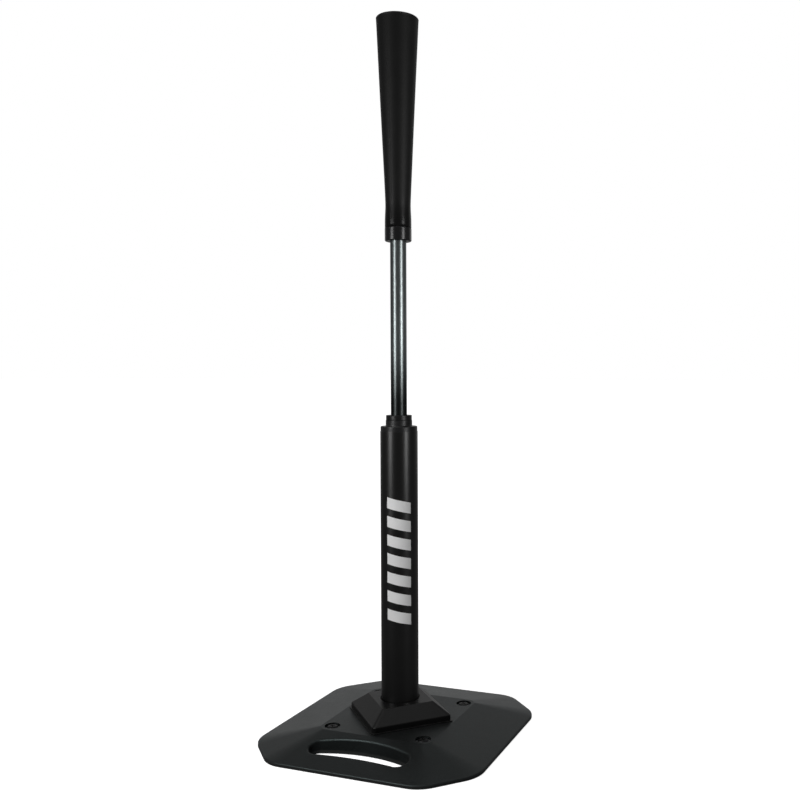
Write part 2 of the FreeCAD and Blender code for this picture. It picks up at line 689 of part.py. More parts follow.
def make_wiper_ring():
    """Rubber wiper on the nose, held down by the neck cap."""
    return make_ring("wiper_ring", f"{NECK_TOP} + nose_height + thread_gap", "stem_radius + running_gap",
                     "nose_radius - fit_gap", "wiper_height")


def make_neck_cap():
    """Cap screwed onto the bushing's nose, above the neck."""
    body = new_body("neck_cap", NECK_TOP)
    inside = "nose_radius + thread_gap"
    bore = "stem_radius + cap_clear"
    revolve(body, "cap", [
        (inside, "0"),
        ("cap_radius - cap_bevel", "0"),
        ("cap_radius", "cap_bevel"),
        ("cap_radius", "cap_height - cap_bevel"),
        ("cap_radius - cap_bevel", "cap_height"),
        (f"{bore} + cap_bevel", "cap_height"),
        (bore, "cap_height - cap_bevel"),
        (bore, "cap_height - cap_roof"),
        (inside, "cap_height - cap_roof"),
    ])
    return body


def make_piston():
    """Friction piston: a socket for the stem above, a pocket for the screw head below, two ring grooves."""
    body = new_body("friction_piston", "piston_bottom")
    socket = "stem_radius + stem_gap"
    web_top = "piston_height - piston_socket"
    revolve(body, "piston", [
        ("piston_pocket_radius", "0"),
        ("piston_radius - 1", "0"),
        ("piston_radius", "1"),
        ("piston_radius", "piston_height - 1"),
        ("piston_radius - 1", "piston_height"),
        (socket, "piston_height"),
        (socket, web_top),
        ("shoulder_radius + running_gap", web_top),
        ("shoulder_radius + running_gap", "piston_pocket"),
        ("piston_pocket_radius", "piston_pocket"),
    ])
    for i in range(2):
        middle = f"(ring_first + {i} * ring_pitch)"
        half = "(ring_wire + ring_side_gap)"
        grooves = new_sketch(body, f"ring_groove_{i + 1}", "XZ_Plane")
        floor = f"{TUBE_INSIDE} - running_gap - 2 * ring_wire - ring_side_gap"
        rim = "piston_radius + 1"
        draw_lines(grooves, ring_profile(floor, rim, f"{middle} - {half}", f"{middle} + {half}"))
        groove = body.newObject("PartDesign::Groove", f"groove_{i + 1}")
        groove.Profile = grooves
        groove.ReferenceAxis = (grooves, ["V_Axis"])
        groove.Angle = 360
    return body


def make_piston_rings():
    """Two rubber rings that rub on the tube and hold the height."""
    body = new_body("piston_rings", "piston_bottom + ring_first")
    first = body.newObject("PartDesign::AdditiveTorus", "ring")
    bind(first, "Radius1", f"{TUBE_INSIDE} - running_gap - ring_wire")
    bind(first, "Radius2", "ring_wire")
    doc.recompute()
    pair = body.newObject("PartDesign::LinearPattern", "both_rings")
    pair.Originals = [first]
    pair.Direction = (origin_part(body, "Z_Axis"), [""])
    bind(pair, "Length", "ring_pitch")
    pair.Occurrences = 2
    body.Tip = pair
    return body


def make_thrust_washer():
    """Washer in the piston's socket that the stem turns on."""
    return make_ring("thrust_washer", "piston_bottom + piston_height - piston_socket",
                     "shoulder_radius + hole_gap", "thrust_radius", "thrust_thick")


def make_stem():
    """Sliding stem, with a cross hole for the adapter's pin near its top."""
    body = new_body("stem_rod", "stem_bottom")
    inner = "stem_radius - stem_wall"
    revolve(body, "stem", ring_profile(inner, "stem_radius", "0", "stem_top - stem_bottom"))
    cut_cross_hole(body, "adapter_bottom + pin_height - stem_bottom")
    return body


def cut_cross_hole(body, height):
    """The hole for the cross pin, right through along Y."""
    sketch = new_sketch(body, "cross_hole_outline", "XZ_Plane")
    draw_circle(sketch, "pin_radius + thread_gap", "0", height)
    doc.recompute()
    cut = body.newObject("PartDesign::Pocket", "cross_hole")
    cut.Profile = sketch
    cut.Type = "ThroughAll"
    cut.Midplane = True
    return cut


def make_stem_plug():
    """Plug in the stem's foot, tapped for the shoulder screw."""
    return make_ring("stem_end_plug", "stem_bottom", "shoulder_thread + thread_gap",
                     "stem_radius - stem_wall - thread_gap", "stem_plug_height")


def make_shoulder_screw():
    """Screw that ties the stem to the piston and lets it turn."""
    body = new_body("shoulder_screw", "piston_bottom + piston_pocket - shoulder_play - shoulder_head_height")
    shoulder_top = f"{PLUG_SEAT} - piston_pocket + shoulder_play + shoulder_head_height"
    thread_top = f"{shoulder_top} + shoulder_thread_length"
    revolve(body, "screw", [
        ("0", "0"), ("shoulder_head", "0"),
        ("shoulder_head", "shoulder_head_height"), ("shoulder_radius", "shoulder_head_height"),
        ("shoulder_radius", shoulder_top), ("shoulder_thread", shoulder_top),
        ("shoulder_thread", thread_top), ("0", thread_top),
    ])
    cut_hexagon(body, "shoulder_hex_radius")
    return body


def make_cone_adapter():
    """Socket on the stem's top: a visible ferrule below and a spigot inside the rubber."""
    body = new_body("cone_adapter", "adapter_bottom")
    bore = "stem_radius + adapter_gap"
    floor = "stem_top - adapter_bottom"
    revolve(body, "adapter", [
        (bore, "0"), ("ferrule_radius", "0"), ("ferrule_radius", "ferrule_height"),
        ("adapter_spigot", "ferrule_height"), ("adapter_spigot", "adapter_height"),
        ("0", "adapter_height"), ("0", floor), (bore, floor),
    ])
    round_edges(body, "ferrule_foot", "ferrule_round", level("0", "ferrule_radius"))
    round_edges(body, "ferrule_head", "ferrule_round", level("ferrule_height", "ferrule_radius"))
    cut_cross_hole(body, "pin_height")
    return body


def make_adapter_pin():
    """Pin across the adapter and the stem, hidden by the rubber."""
    pin = doc.addObject("Part::Cylinder", "adapter_pin")
    pin.Label = "adapter_pin"
    bind(pin, "Radius", "pin_radius")
    bind(pin, "Height", "pin_length")
    pin.Placement.Rotation = FreeCAD.Rotation(FreeCAD.Vector(1, 0, 0), 90)
    bind(pin, "Placement.Base.y", "pin_length / 2")
    bind(pin, "Placement.Base.z", "adapter_bottom + pin_height")
    return pin


def make_cone_sleeve():
    """Lower end of the rubber, fast on the adapter, with a hollow round seat that the cone bends in."""
    body = new_body("cone_sleeve", "adapter_bottom + ferrule_height")
    inner = "adapter_spigot + rubber_gap"
    revolve(body, "sleeve", [
        (inner, "0"), ("sleeve_radius", "0"), ("sleeve_radius", "sleeve_straight"),
        ("neck_rubber_radius", "sleeve_height"), (inner, "sleeve_height"),
    ])
    ball = body.newObject("PartDesign::SubtractiveSphere", "bend_seat")
    attach(ball, body, "XY_Plane", z="bend_height - adapter_bottom - ferrule_height")
    bind(ball, "Radius", "bend_radius + bend_gap / 2")
    return body


def make_cone_top():
    """Hollow rubber cone, open above, whose foot is rounded about the point that it bends on."""
    body = new_body("cone_top", "bend_height")
    rise = "(cone_top_height - bend_height)"
    neck = "(neck_rubber_height - bend_height)"
    foot = "-bend_radius"
    slope = f"((cone_radius - neck_rubber_radius) / ({rise} - {neck}))"
    foot_radius = f"neck_rubber_radius + {slope} * ({foot} - {neck})"
    inner_rim = "cone_radius - cone_wall"
    inner_slope = f"(({inner_rim} - adapter_spigot) / ({rise} + bend_radius))"
    revolve(body, "cone", [
        ("adapter_spigot", foot), (foot_radius, foot), ("cone_radius", rise),
        (f"adapter_spigot + {inner_slope} * ({rise} + bend_radius)", rise),
    ])
    foot_cut = new_sketch(body, "foot_cut_profile", "XZ_Plane")
    round_by = value("bend_radius - bend_gap / 2")
    circle = Part.Circle(FreeCAD.Vector(0, 0, 0), FreeCAD.Vector(0, 0, 1), round_by)
    arc = foot_cut.addGeometry(Part.ArcOfCircle(circle, -math.pi / 2, 0))
    low = -value("bend_reach")
    corners = [(round_by, 0), (round_by, low), (0, low), (0, -round_by)]
    places = [FreeCAD.Vector(x, y, 0) for x, y in corners]
    for start, end in zip(places, places[1:]):
        foot_cut.addGeometry(Part.LineSegment(start, end))
    for one, one_end, two, two_end in (
        (arc, 2, arc + 1, 1),
        (arc + 1, 2, arc + 2, 1),
        (arc + 2, 2, arc + 3, 1),
        (arc + 3, 2, arc, 1),
    ):
        foot_cut.addConstraint(Sketcher.Constraint("Coincident", one, one_end, two, two_end))
    pin_point(foot_cut, arc, 3, "0", "0")
    dimension(foot_cut, "bend_radius - bend_gap / 2", "Radius", arc)
    foot_cut.addConstraint(Sketcher.Constraint("PointOnObject", arc, 1, -2))
    foot_cut.addConstraint(Sketcher.Constraint("PointOnObject", arc, 2, -1))
    foot_cut.addConstraint(Sketcher.Constraint("Vertical", arc + 1))
    pin_point(foot_cut, arc + 3, 1, "0", "-bend_reach")
    foot_cut.addConstraint(Sketcher.Constraint("Horizontal", arc + 2))
    doc.recompute()
    cut = body.newObject("PartDesign::Groove", "round_foot")
    cut.Profile = foot_cut
    cut.ReferenceAxis = (foot_cut, ["V_Axis"])
    cut.Angle = 360
    round_edges(body, "rim_edges", "rim_edge_round", level(rise))
    return body


pieces = [
    make_base_shell(),
    make_ballast_plate(),
    make_grip_mat(),
    make_pedestal(),
    make_shell_screws(),
    make_screw_washers(),
    make_pedestal_screws(),
    make_tube(),
    make_tube_end_plug(),
    make_center_bolt(),
    make_tube_seal(),
    make_guide_bushing(),
    make_wiper_ring(),
    make_neck_cap(),
    make_piston(),
    make_piston_rings(),
    make_thrust_washer(),
    make_stem(),
    make_stem_plug(),
    make_shoulder_screw(),
    make_cone_adapter(),
    make_adapter_pin(),
    make_cone_sleeve(),
    make_cone_top(),
]
doc.recompute()

for thing in doc.Objects:
    if {"Invalid", "Error"} & set(thing.State):
        raise RuntimeError(f"{thing.Label} failed: {thing.State}")
for piece in pieces:
    if piece.Shape.isNull() or not piece.Shape.isValid() or not piece.Shape.Solids:
        raise RuntimeError(f"{piece.Label} has no valid solid")

os.makedirs("parts", exist_ok=True)
for piece in pieces:
    piece.Shape.exportStep(f"parts/{piece.Label}.step")
    print(f"{piece.Label}: {len(piece.Shape.Solids)} solid(s), {piece.Shape.Volume / 1000:.2f} cm3")
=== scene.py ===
import math

import bmesh
import bpy
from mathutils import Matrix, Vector


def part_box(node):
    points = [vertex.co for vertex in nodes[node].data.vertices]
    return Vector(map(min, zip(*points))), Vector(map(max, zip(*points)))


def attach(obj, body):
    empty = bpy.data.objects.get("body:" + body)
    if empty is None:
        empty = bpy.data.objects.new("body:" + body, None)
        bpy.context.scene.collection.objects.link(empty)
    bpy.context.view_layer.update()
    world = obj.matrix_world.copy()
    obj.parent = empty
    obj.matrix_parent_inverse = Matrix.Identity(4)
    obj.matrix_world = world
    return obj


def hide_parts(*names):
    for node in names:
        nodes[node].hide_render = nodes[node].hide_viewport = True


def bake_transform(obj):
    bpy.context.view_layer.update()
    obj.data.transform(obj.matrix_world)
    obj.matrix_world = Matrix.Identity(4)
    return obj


# Looks for the batting tee. Metres. +Z is up along the pole, and the carry slot faces -Y.

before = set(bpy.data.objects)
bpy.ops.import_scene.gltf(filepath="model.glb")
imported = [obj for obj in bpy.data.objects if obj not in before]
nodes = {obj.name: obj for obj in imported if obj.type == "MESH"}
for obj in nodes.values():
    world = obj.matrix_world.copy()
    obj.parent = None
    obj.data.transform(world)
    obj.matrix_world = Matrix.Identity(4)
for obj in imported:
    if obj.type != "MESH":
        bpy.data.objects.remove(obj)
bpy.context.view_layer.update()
scene = bpy.context.scene

MM = 0.001

sleeve_low, sleeve_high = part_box("cone_sleeve")
cone_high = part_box("cone_top")[1]
tube_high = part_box("outer_tube")[1]
cap_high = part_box("neck_cap")[1]

# The rubber cone: a straight sleeve over the ferrule, a soft neck, then a straight taper to the rim.
SLEEVE_RADIUS = sleeve_high.x
SLEEVE_FOOT = sleeve_low.z
SLEEVE_STRAIGHT = 5 * MM
FOOT_ROUND = 0.2 * MM
NECK_RADIUS = 14.8 * MM
NECK_HEIGHT = 629 * MM
NECK_OVERLAP = 4 * MM
NECK_SOFTNESS = 0.25 * MM
RIM_RADIUS = cone_high.x
RIM_HEIGHT = cone_high.z
RIM_ROUND = 1.3 * MM
CONE_WALL = 4.8 * MM
BORE_RADIUS = 11.05 * MM
BORE_TOP = 620 * MM
CONE_ROWS = 110
CONE_SEGMENTS = 160
SEAM_ANGLE = -math.pi / 2
SEAM_WIDTH = 0.5 * MM
SEAM_DEPTH = 0.22 * MM
UNEVENNESS = 0.05 * MM

# The white bars printed on the tube. The skins are their inner and outer faces.
BAR_COUNT = 7
BAR_COLUMNS = 24
BAR_HEIGHT = 13 * MM
BAR_PITCH = 22 * MM
BAR_SLANT = 3.5 * MM
BAR_SKINS = (tube_high.x + 0.02 * MM, tube_high.x + 0.09 * MM)
BARS_FOOT = 135.5 * MM
BARS_FACE = math.radians(-64.5)
BARS_HALF_TURN = math.radians(38)

# Where materials change with height: the base's rim, painted paler low down as light on its side, the
# polished rubber, and the stem, painted darker near the bushing as shade.
LIT_RIM_FULL, LIT_RIM_END = 3.2 * MM, 4.7 * MM
POLISH_FULL, POLISH_END = 603 * MM, 645 * MM
STEM_SHADE_FULL, STEM_SHADE_END = cap_high.z + 10 * MM, cap_high.z + 90 * MM


# ---------------------------------------------------------------- materials

def link(tree, start, end):
    tree.links.new(start, end)


def feed(tree, socket, value):
    """Gives a socket a value, which is another socket or fixed."""
    if isinstance(value, bpy.types.NodeSocket):
        link(tree, value, socket)
    else:
        socket.default_value = value


def set_inputs(node, **values):
    """Fixed values for a node's inputs, by name with _ for a space."""
    for name, value in values.items():
        node.inputs[name.replace("_", " ")].default_value = value


def add(tree, kind, **values):
    """A shader node with some of its inputs set."""
    node = tree.nodes.new(kind)
    set_inputs(node, **values)
    return node


def grey(level, tint=(1, 1, 1)):
    return (*(level * t for t in tint), 1)


def new_material(name):
    """An empty node material with its shader and the object's own coordinates."""
    made = bpy.data.materials.new(name)
    made.use_nodes = True
    tree = made.node_tree
    shader = tree.nodes["Principled BSDF"]
    place = tree.nodes.new("ShaderNodeTexCoord").outputs["Object"]
    return made, tree, shader, place


def ramp(tree, source, stops):
    """A colour ramp over a value."""
    node = tree.nodes.new("ShaderNodeValToRGB")
    link(tree, source, node.inputs["Fac"])
    band = node.color_ramp
    while len(band.elements) < len(stops):
        band.elements.new(0.5)
    for element, (position, colour) in zip(band.elements, stops):
        element.position = position
        element.color = colour
    return node.outputs["Color"]


def mask(tree, source, low, high):
    """0 below one value and 1 above another."""
    return ramp(tree, source, [(low, grey(0)), (high, grey(1))])


def spread(tree, source, low, high):
    """A 0..1 value mapped onto low..high."""
    node = add(tree, "ShaderNodeMapRange", To_Min=low, To_Max=high)
    node.clamp = False
    link(tree, source, node.inputs["Value"])
    return node.outputs["Result"]


def soft_step(tree, source, from_low, from_high, to_low=0, to_high=1):
    """to_low below one value and to_high above another, with a soft step between."""
    node = add(tree, "ShaderNodeMapRange", From_Min=from_low, From_Max=from_high,
               To_Min=to_low, To_Max=to_high)
    node.interpolation_type = "SMOOTHSTEP"
    link(tree, source, node.inputs["Value"])
    return node.outputs["Result"]


def up(tree, place):
    """The height part of a place or direction."""
    node = tree.nodes.new("ShaderNodeSeparateXYZ")
    link(tree, place, node.inputs["Vector"])
    return node.outputs["Z"]


def measure(tree, operation, *vectors):
    """A number from vectors: their DOT_PRODUCT, or one's LENGTH."""
    node = tree.nodes.new("ShaderNodeVectorMath")
    node.operation = operation
    for socket, vector in zip(node.inputs, vectors):
        feed(tree, socket, vector)
    return node.outputs["Value"]


def multiply(tree, first, second):
    """Two values multiplied."""
    node = tree.nodes.new("ShaderNodeMath")
    node.operation = "MULTIPLY"
    feed(tree, node.inputs[0], first)
    feed(tree, node.inputs[1], second)
    return node.outputs["Value"]


def mix(tree, factor, first, second):
    """Two colours mixed."""
    node = tree.nodes.new("ShaderNodeMix")
    node.data_type = "RGBA"
    for index, value in ((0, factor), (6, first), (7, second)):
        feed(tree, node.inputs[index], value)
    return node.outputs[2]


def noise(tree, place, size, detail, rough, stretch=None):
    """Noise whose features are about size metres across. stretch below 1 draws them out along that axis."""
    if stretch:
        scaled = add(tree, "ShaderNodeMapping", Scale=stretch)
        link(tree, place, scaled.inputs["Vector"])
        place = scaled.outputs["Vector"]
    node = add(tree, "ShaderNodeTexNoise", Scale=1 / size, Detail=detail, Roughness=rough)
    link(tree, place, node.inputs["Vector"])
    return node.outputs["Fac"]


def cells(tree, place, size, feature):
    """Distance to the middle of cells about size metres across."""
    node = add(tree, "ShaderNodeTexVoronoi", Scale=1 / size)
    node.feature = feature
    link(tree, place, node.inputs["Vector"])
    return node.outputs["Distance"]


def bump(tree, shader, layers):
    """Bumps, one on top of the other: (height source, strength, depth in metres)."""
    normal = None
    for height, strength, depth in layers:
        node = add(tree, "ShaderNodeBump", Strength=strength, Distance=depth)
        link(tree, height, node.inputs["Height"])
        if normal:
            link(tree, normal, node.inputs["Normal"])
        normal = node.outputs["Normal"]
    link(tree, normal, shader.inputs["Normal"])


def edge_mask(tree):
    """1 on sharp edges and 0 on flat faces, from how far the bevelled normal turns."""
    bevel = add(tree, "ShaderNodeBevel", Radius=1.2 * MM)
    bevel.samples = 4
    flat = tree.nodes.new("ShaderNodeNewGeometry")
    likeness = measure(tree, "DOT_PRODUCT", bevel.outputs["Normal"], flat.outputs["Normal"])
    edge = add(tree, "ShaderNodeMapRange", From_Min=0.98, From_Max=0.75)
    link(tree, likeness, edge.inputs["Value"])
    return edge.outputs["Result"]


def rubber(name, dark, light, rough, specular=0.3, polished_foot=None):
    """Black rubber: dusty cloudiness, a fine grain and rubbed patches.

    polished_foot is (full below this height, gone above this one, roughness).
    """
    made, tree, shader, place = new_material(name)
    cloud = noise(tree, place, 35 * MM, 5, 0.6)
    dust = mask(tree, noise(tree, place, 4 * MM, 3, 0.7), 0.62, 0.8)
    colour = ramp(tree, cloud, [(0.3, dark), (0.75, light)])
    link(tree, mix(tree, multiply(tree, dust, 0.25), colour, light), shader.inputs["Base Color"])
    roughness = spread(tree, cloud, rough - 0.06, rough + 0.08)
    if polished_foot:
        full, end, polished = polished_foot
        roughness = mix(tree, soft_step(tree, up(tree, place), full, end), grey(polished), roughness)
    link(tree, roughness, shader.inputs["Roughness"])
    set_inputs(shader, Specular_IOR_Level=specular)
    bump(tree, shader, [
        (noise(tree, place, 0.8 * MM, 2, 0.6), 0.35, 0.06 * MM),
        (noise(tree, place, 12 * MM, 3, 0.5), 0.25, 0.3 * MM),
    ])
    return made


def textured_rubber(name, dark, light, rough, pitch):
    """Anti-slip rubber sheet: a fine crossed texture at a pitch, dusty on top, with painted shade in the
    grooves between.
    """
    made, tree, shader, place = new_material(name)
    cloud = noise(tree, place, 30 * MM, 5, 0.65)
    heights = []
    for turn_deg in (45, -45):
        turned = add(tree, "ShaderNodeMapping", Rotation=(0, 0, math.radians(turn_deg)))
        link(tree, place, turned.inputs["Vector"])
        # The wave texture repeats every 2 pi / (20 * Scale).
        wave = add(tree, "ShaderNodeTexWave", Scale=2 * math.pi / (20 * pitch), Distortion=0, Detail=0)
        link(tree, turned.outputs["Vector"], wave.inputs["Vector"])
        heights.append(mask(tree, wave.outputs["Fac"], 0.12, 0.4))
    tread = multiply(tree, *heights)
    # The grooves between the bumps are painted dark as shade; the tops are dusty.
    link(tree, mix(tree, multiply(tree, tread, cloud), dark, light), shader.inputs["Base Color"])
    link(tree, spread(tree, cloud, rough - 0.08, rough + 0.08), shader.inputs["Roughness"])
    set_inputs(shader, Specular_IOR_Level=0.35)
    bump(tree, shader, [
        (tread, 0.6, 0.12 * MM),
        (noise(tree, place, 0.8 * MM, 2, 0.6), 0.35, 0.06 * MM),
    ])
    return made


def moulded(name, dark, light, rough, grain, depth, edge_wear_and_highlight=None, specular=0.5, coat=0.0,
            sheen_tint=(1, 1, 1, 1), painted_light_foot=None):
    """Moulded plastic: pebbled grain, mottling and paler edges, partly rubbed wear and partly a painted
    highlight.

    grain is the pebbles' size and depth their height. The foot argument is (full below this height,
    gone above this one, colour): painted light, a paler band low on the side of the rim.
    """
    made, tree, shader, place = new_material(name)
    cloud = noise(tree, place, 50 * MM, 5, 0.65)
    fine = noise(tree, place, 6 * MM, 4, 0.7)
    colour = ramp(tree, cloud, [(0.3, dark), (0.72, light)])
    # Paler edges: partly rubbed wear, partly a painted highlight on the rounded edges.
    if edge_wear_and_highlight:
        wear_and_highlight_mask = multiply(tree, edge_mask(tree), mask(tree, fine, 0.35, 0.6))
        colour = mix(tree, multiply(tree, wear_and_highlight_mask, 0.6), colour, edge_wear_and_highlight)
    # Painted light: the rim's side is painted paler low down, in place of light falling on it.
    if painted_light_foot:
        full, end, lit_rim_colour = painted_light_foot
        colour = mix(tree, soft_step(tree, up(tree, place), full, end), lit_rim_colour, colour)
    link(tree, colour, shader.inputs["Base Color"])
    patchy = mix(tree, 0.5, fine, cloud)
    link(tree, spread(tree, patchy, rough - 0.09, rough + 0.1), shader.inputs["Roughness"])
    set_inputs(shader, Specular_IOR_Level=specular, Specular_Tint=sheen_tint, Coat_Weight=coat,
               Coat_Roughness=0.25)
    bump(tree, shader, [
        (cells(tree, place, grain, "SMOOTH_F1"), 0.5, depth),
        (noise(tree, place, grain * 0.4, 2, 0.6), 0.3, depth * 0.5),
        (noise(tree, place, 30 * MM, 2, 0.4), 0.15, 0.4 * MM),
    ])
    return made


def powder_coat(name, dark, light, rough):
    """Satin powder coat: a faint orange peel and hair scratches along the pole."""
    made, tree, shader, place = new_material(name)
    cloud = noise(tree, place, 60 * MM, 4, 0.6)
    scratch = mask(tree, noise(tree, place, 4 * MM, 3, 0.8, stretch=(1, 1, 0.02)), 0.66, 0.74)
    colour = ramp(tree, cloud, [(0.3, dark), (0.7, light)])
    link(tree, mix(tree, multiply(tree, scratch, 0.3), colour, grey(0.06)), shader.inputs["Base Color"])
    link(tree, spread(tree, cloud, rough - 0.04, rough + 0.05), shader.inputs["Roughness"])
    set_inputs(shader, Specular_IOR_Level=0.7)
    bump(tree, shader, [
        (noise(tree, place, 1.1 * MM, 2, 0.5), 0.22, 0.05 * MM),
        (noise(tree, place, 10 * MM, 2, 0.5), 0.12, 0.15 * MM),
    ])
    return made


def speckled_steel(name):
    """Gunmetal stem: hammered speckle with fine bright flakes, and painted shade darkening it near the
    bushing.
    """
    made, tree, shader, place = new_material(name)
    flake = mask(tree, noise(tree, place, 0.9 * MM, 2, 0.6), 0.52, 0.66)
    cloud = noise(tree, place, 20 * MM, 4, 0.6, stretch=(1, 1, 0.35))
    base = ramp(tree, cloud, [(0.3, grey(0.30, (0.87, 1, 1))), (0.7, grey(0.42, (0.9, 1, 1)))])
    steel = mix(tree, multiply(tree, flake, 0.4), base, grey(0.62, (0.94, 1, 1)))
    # Painted shade: the stem is darkened towards the bushing, standing in for its highlights fading there.
    unshaded_share = soft_step(tree, up(tree, place), STEM_SHADE_FULL, STEM_SHADE_END)
    link(tree, mix(tree, unshaded_share, grey(0.05, (0.9, 1, 1)), steel), shader.inputs["Base Color"])
    link(tree, spread(tree, flake, 0.3, 0.4), shader.inputs["Roughness"])
    set_inputs(shader, Metallic=1, Specular_Tint=grey(0.3))
    bump(tree, shader, [
        (cells(tree, place, 1.6 * MM, "F1"), 0.07, 0.05 * MM),
        (noise(tree, place, 6 * MM, 3, 0.5, stretch=(1, 1, 0.3)), 0.06, 0.1 * MM),
    ])
    return made


def plain_metal(name, colour, rough):
    """Bare or plated metal: brushed grain, cloudy plating and small pits."""
    made, tree, shader, place = new_material(name)
    cloud = noise(tree, place, 8 * MM, 4, 0.6)
    brushed = noise(tree, place, 1.2 * MM, 2, 0.5, stretch=(1, 1, 0.1))
    darker = grey(0.75, colour[:3])
    link(tree, ramp(tree, cloud, [(0.3, darker), (0.65, colour)]), shader.inputs["Base Color"])
    link(tree, spread(tree, brushed, rough - 0.08, rough + 0.1), shader.inputs["Roughness"])
    set_inputs(shader, Metallic=1)
    bump(tree, shader, [(brushed, 0.25, 0.04 * MM), (cloud, 0.15, 0.1 * MM)])
    return made


CONE_RUBBER = rubber("cone_rubber", grey(0.0045), grey(0.0085, (1, 1, 0.98)), rough=0.5, specular=0.5,
                     polished_foot=(POLISH_FULL, POLISH_END, 0.25))
SEAL_RUBBER = rubber("seal_rubber", grey(0.006), grey(0.012), rough=0.5)
MAT_RUBBER = textured_rubber("mat_rubber", grey(0.01), grey(0.03), rough=0.75, pitch=2.5 * MM)
SHELL = moulded("shell_composite", grey(0.006), grey(0.012, (0.96, 1, 1)), rough=0.39,
                grain=1.1 * MM, depth=0.18 * MM, edge_wear_and_highlight=grey(0.09, (0.95, 1, 1)),
                sheen_tint=(0.82, 1, 1, 1), painted_light_foot=(LIT_RIM_FULL, LIT_RIM_END, grey(0.032)))
PEDESTAL = moulded("pedestal_plastic", grey(0.004), grey(0.008), rough=0.38,
                   grain=0.8 * MM, depth=0.08 * MM, edge_wear_and_highlight=grey(0.08), specular=0.4)
BUSHING = moulded("bushing_plastic", grey(0.008, (1, 1, 1.05)), grey(0.014, (1, 1, 1.05)), rough=0.36,
                  grain=0.6 * MM, depth=0.03 * MM, edge_wear_and_highlight=grey(0.04))
FERRULE = moulded("ferrule_plastic", grey(0.006, (1, 1, 1.1)), grey(0.010, (1, 1, 1.1)), rough=0.24,
                  grain=0.6 * MM, depth=0.01 * MM, edge_wear_and_highlight=grey(0.03), coat=0.8)
NYLON = moulded("nylon", (0.62, 0.6, 0.54, 1), (0.75, 0.73, 0.67, 1), rough=0.4,
                grain=0.7 * MM, depth=0.03 * MM, edge_wear_and_highlight=(0.85, 0.83, 0.78, 1))
TUBE_COAT = powder_coat("tube_coat", grey(0.005), grey(0.008), rough=0.3)
PRINT_WHITE = moulded("print_white", grey(0.88), grey(0.95), rough=0.45, grain=0.7 * MM, depth=0.02 * MM)
STEM_STEEL = speckled_steel("stem_steel")
BLACK_STEEL = plain_metal("black_oxide", grey(0.035, (1, 1, 1.03)), rough=0.38)
ZINC = plain_metal("zinc_plate", (0.62, 0.63, 0.66, 1), rough=0.3)
MILL_STEEL = plain_metal("mill_steel", (0.16, 0.155, 0.15, 1), rough=0.55)
BRASS = plain_metal("brass", (0.68, 0.48, 0.2, 1), rough=0.32)

FINISHES = {
    "base_shell": SHELL, "ballast_plate": MILL_STEEL, "pedestal": PEDESTAL, "shell_screws": BLACK_STEEL,
    "screw_washers": ZINC, "pedestal_screws": ZINC, "outer_tube": TUBE_COAT, "tube_end_plug": NYLON,
    "center_bolt": ZINC, "tube_seal_ring": SEAL_RUBBER, "guide_bushing": BUSHING, "wiper_ring": SEAL_RUBBER,
    "neck_cap": BUSHING, "friction_piston": NYLON, "piston_rings": SEAL_RUBBER, "thrust_washer": BRASS,
    "stem_rod": STEM_STEEL, "stem_end_plug": NYLON, "shoulder_screw": ZINC, "cone_adapter": FERRULE,
    "adapter_pin": ZINC, "grip_mat": MAT_RUBBER, "cone_sleeve": CONE_RUBBER, "cone_top": CONE_RUBBER,
}
for name, finish in FINISHES.items():
    mesh = nodes[name].data
    mesh.materials.clear()
    mesh.materials.append(finish)


# ---------------------------------------------------------------- pieces

def new_piece(name, bm, material, smooth_deg=35):
    """A mesh object from a bmesh, with one material and soft shading below an angle."""
    bmesh.ops.recalc_face_normals(bm, faces=bm.faces)
    mesh = bpy.data.meshes.new(name)
    bm.to_mesh(mesh)
    bm.free()
    mesh.materials.append(material)
    for polygon in mesh.polygons:
        polygon.use_smooth = True
    mesh.set_sharp_from_angle(angle=math.radians(smooth_deg))
    piece = bpy.data.objects.new(name, mesh)
    scene.collection.objects.link(piece)
    return piece


def lathe(profile, segments, radius_at):
    """A closed profile of (radius, height) points turned about the pole.

    radius_at(radius, angle, height) is the radius that a point of the profile has at an angle.
    """
    bm = bmesh.new()
    rings = []
    for radius, height in profile:
        ring = []
        for i in range(segments):
            angle = 2 * math.pi * i / segments
            r = radius_at(radius, angle, height)
            ring.append(bm.verts.new((r * math.cos(angle), r * math.sin(angle), height)))
        rings.append(ring)
    for ring, above in zip(rings, rings[1:] + rings[:1]):
        for i in range(segments):
            j = (i + 1) % segments
            bm.faces.new((ring[i], ring[j], above[j], above[i]))
    return bm


def smooth_step(t):
    t = min(max(t, 0), 1)
    return t * t * (3 - 2 * t)


def arc_points(centre, radius, start_deg, end_deg, count):
    """Points on an arc in the (radius, height) plane."""
    turns = [math.radians(start_deg + (end_deg - start_deg) * i / count) for i in range(count + 1)]
    return [(centre[0] + radius * math.cos(t), centre[1] + radius * math.sin(t)) for t in turns]


def cone_outside(height):
    """Outer radius of the rubber at a height: the larger of sleeve and taper, blended softly."""
    neck_span = NECK_HEIGHT + NECK_OVERLAP - SLEEVE_FOOT - SLEEVE_STRAIGHT
    drawn_in = smooth_step((height - SLEEVE_FOOT - SLEEVE_STRAIGHT) / neck_span)
    sleeve = SLEEVE_RADIUS - (SLEEVE_RADIUS - NECK_RADIUS) * drawn_in
    slope = (RIM_RADIUS - NECK_RADIUS) / (RIM_HEIGHT - NECK_HEIGHT)
    gap = NECK_RADIUS + slope * (height - NECK_HEIGHT) - sleeve
    return sleeve + (gap + math.hypot(gap, 2 * NECK_SOFTNESS)) / 2 - 0.6 * NECK_SOFTNESS


